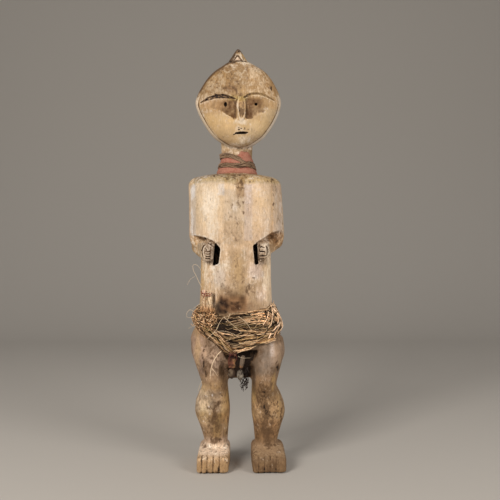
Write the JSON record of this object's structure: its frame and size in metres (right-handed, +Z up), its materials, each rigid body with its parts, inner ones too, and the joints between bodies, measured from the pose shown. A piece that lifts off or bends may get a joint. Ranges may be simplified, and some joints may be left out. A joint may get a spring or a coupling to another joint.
{
  "type": "guardian figure",
  "caption": "Standing carved wooden guardian figure with a disc-shaped face, hands at the belly, cloth and cord at the neck and a fibre skirt with hanging charms",
  "frame": {"origin": "On the ground, under the middle of the whole figure", "axes": "+Z is up along the body, -Y is the way the face looks, +X is to the right of someone looking at the face"},
  "size_m": [0.1834, 0.1478, 0.8],
  "materials": {
    "wood": "dry carved wood with worn pale clay and brown stains",
    "red_cloth": "faded red cotton",
    "bark_cord": "flat grey-brown bark cord",
    "palm_fibre": "dry straw-coloured palm fibre",
    "red_thread": "dull red thread",
    "dark_bark": "reddish brown bark, matt",
    "peg_wood": "smooth pale wood",
    "grey_shell": "grey shell, slightly glossy",
    "black_cord": "blackened twisted cord"
  },
  "bodies": {
    "root": {"carved_figure": "wood", "neck_cloth": "red_cloth", "neck_cord": "bark_cord", "fibre_skirt": "palm_fibre", "bundle_thread": "red_thread", "front_thread": "red_thread", "bark_packet": "dark_bark", "wooden_peg": "peg_wood", "pod_charm": "grey_shell", "shell_charm": "grey_shell", "knotted_tassel": "black_cord"}
  },
  "joints": []
}
